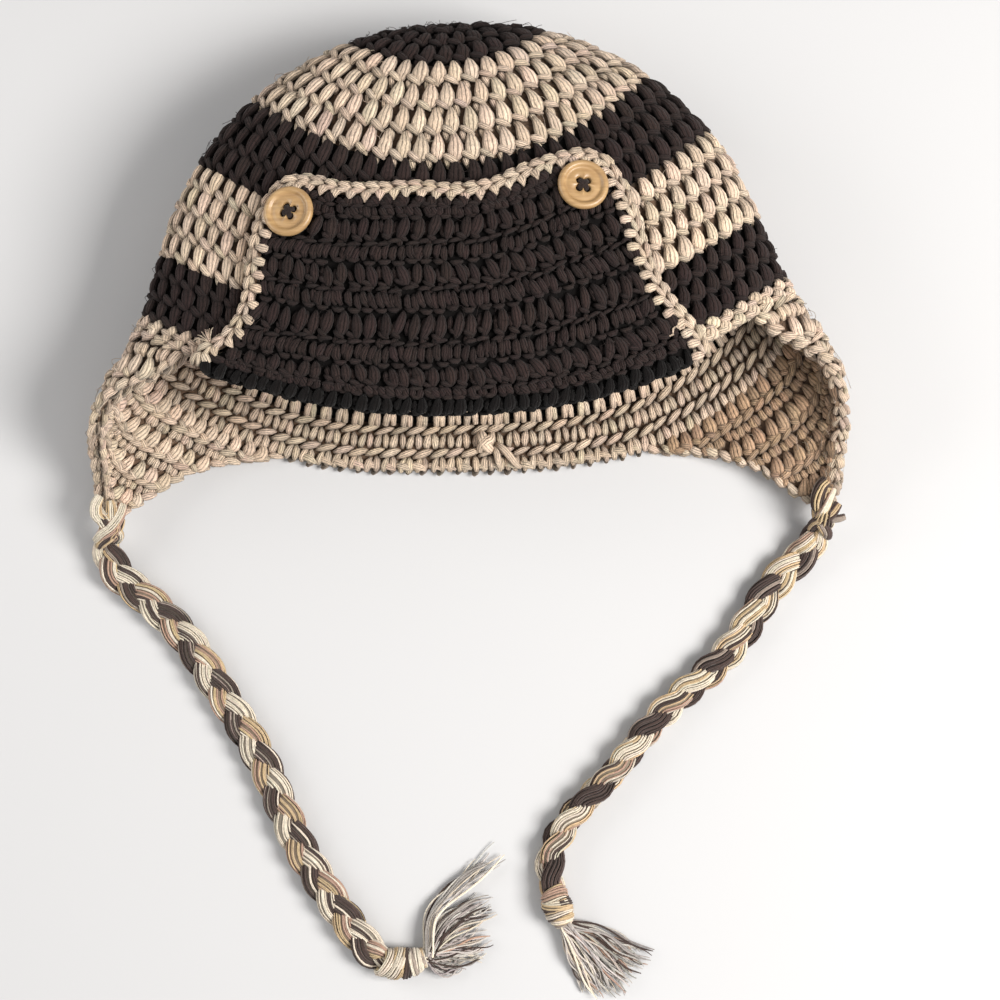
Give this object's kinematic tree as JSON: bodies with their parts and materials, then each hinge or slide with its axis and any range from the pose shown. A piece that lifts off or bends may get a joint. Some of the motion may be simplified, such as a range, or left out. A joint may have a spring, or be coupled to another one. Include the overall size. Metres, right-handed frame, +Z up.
{
  "type": "crocheted ear-flap hat",
  "caption": "Striped crocheted ear-flap hat lying on its back, with a turned-up front flap held by wooden buttons and a braided tie with a tassel on each ear flap.",
  "frame": {"origin": "middle of the hat's bounding box without its ties, on the floor that it lies on", "axes": "+Y towards the crown's centre and -Y out of the face opening, +Z up from the floor through the forehead side, +X across the hat to the right ear flap as seen from above"},
  "size_m": [0.2797, 0.3585, 0.0771],
  "materials": {
    "dark_yarn": "matt dark brown soft cotton yarn",
    "tan_yarn": "matt light tan soft cotton yarn",
    "button_wood": "satin light turned wood",
    "thread": "dark sewing thread",
    "braid_yarn": "fine yarns in cream, gold, rose and dark brown"
  },
  "bodies": {
    "root": {"crown_cap": "dark_yarn", "crown_tan_upper": "tan_yarn", "crown_dark_middle": "dark_yarn", "crown_tan_middle": "tan_yarn", "crown_dark_lower": "dark_yarn", "lower_band": "tan_yarn", "ear_flap_left": "tan_yarn", "ear_flap_right": "tan_yarn", "front_brim": "dark_yarn", "brim_edging": "tan_yarn", "button_left": "button_wood", "button_right": "button_wood", "button_thread_left": "thread", "button_thread_right": "thread", "tie_loop_left": "braid_yarn", "tie_loop_right": "braid_yarn", "braid_left": "braid_yarn", "braid_right": "braid_yarn", "tie_knot_left": "braid_yarn", "tie_knot_right": "braid_yarn", "tassel_left": "braid_yarn", "tassel_right": "braid_yarn"}
  },
  "joints": []
}
